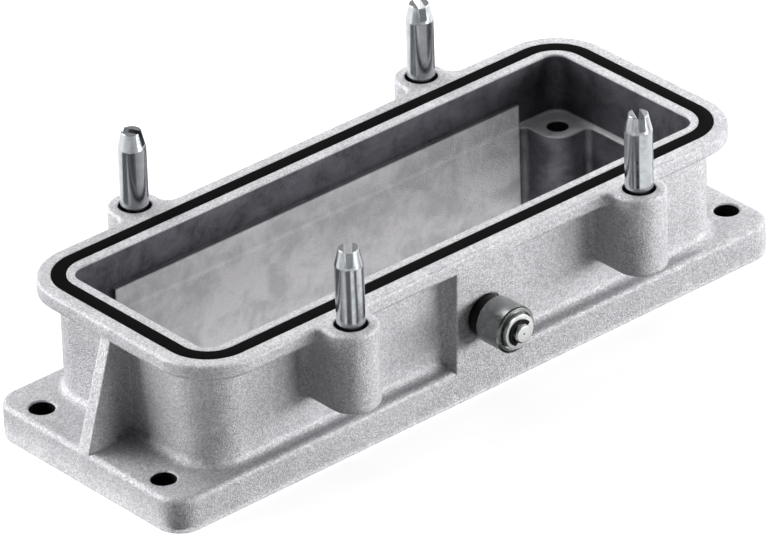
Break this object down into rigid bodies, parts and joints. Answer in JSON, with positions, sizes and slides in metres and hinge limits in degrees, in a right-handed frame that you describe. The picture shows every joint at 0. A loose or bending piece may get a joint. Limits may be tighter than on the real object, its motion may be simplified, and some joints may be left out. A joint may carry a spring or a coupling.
{
  "type": "rectangular connector housing",
  "caption": "Die-cast rectangular bulkhead connector housing with flange, rim seal, slotted guide pins and locking rollers on both long sides; open cavity for a contact insert.",
  "frame": {"origin": "centre of the flange's underside, on the panel that the housing is screwed to", "axes": "+X along the housing, +Y across it to the back, +Z out of the panel"},
  "size_m": [0.1386, 0.069, 0.0431],
  "materials": {
    "cast_aluminium": "bead-blasted aluminium die casting, fine grain",
    "seal_rubber": "smooth black nitrile rubber",
    "zinc_plated_steel": "bright zinc plating with a blue tint over turned steel",
    "bright_steel": "bright turned steel",
    "blackened_steel": "turned steel, chemically darkened",
    "phosphated_spring_steel": "stamped spring steel, phosphated black",
    "black_polyamide": "moulded black polyamide"
  },
  "bodies": {
    "housing": {"housing": "cast_aluminium", "rim_seal": "seal_rubber", "panel_seal": "seal_rubber", "guide_pin_front_left": "zinc_plated_steel", "guide_pin_front_right": "zinc_plated_steel", "guide_pin_back_left": "zinc_plated_steel", "guide_pin_back_right": "zinc_plated_steel", "peg_stud_front": "bright_steel", "peg_spacer_front": "black_polyamide", "peg_washer_front": "bright_steel", "retaining_clip_front": "phosphated_spring_steel", "peg_stud_back": "bright_steel", "peg_spacer_back": "black_polyamide", "peg_washer_back": "bright_steel", "retaining_clip_back": "phosphated_spring_steel"},
    "roller_front": {"roller_front": "blackened_steel"},
    "roller_back": {"roller_back": "blackened_steel"}
  },
  "joints": [
    {"name": "roller_front_spin", "type": "hinge", "parent": "housing", "child": "roller_front", "pos_m": [0, -0.0297, 0.01555], "axis": [0, -1, 0], "continuous": true},
    {"name": "roller_back_spin", "type": "hinge", "parent": "housing", "child": "roller_back", "pos_m": [0, 0.0297, 0.01555], "axis": [0, 1, 0], "continuous": true}
  ]
}
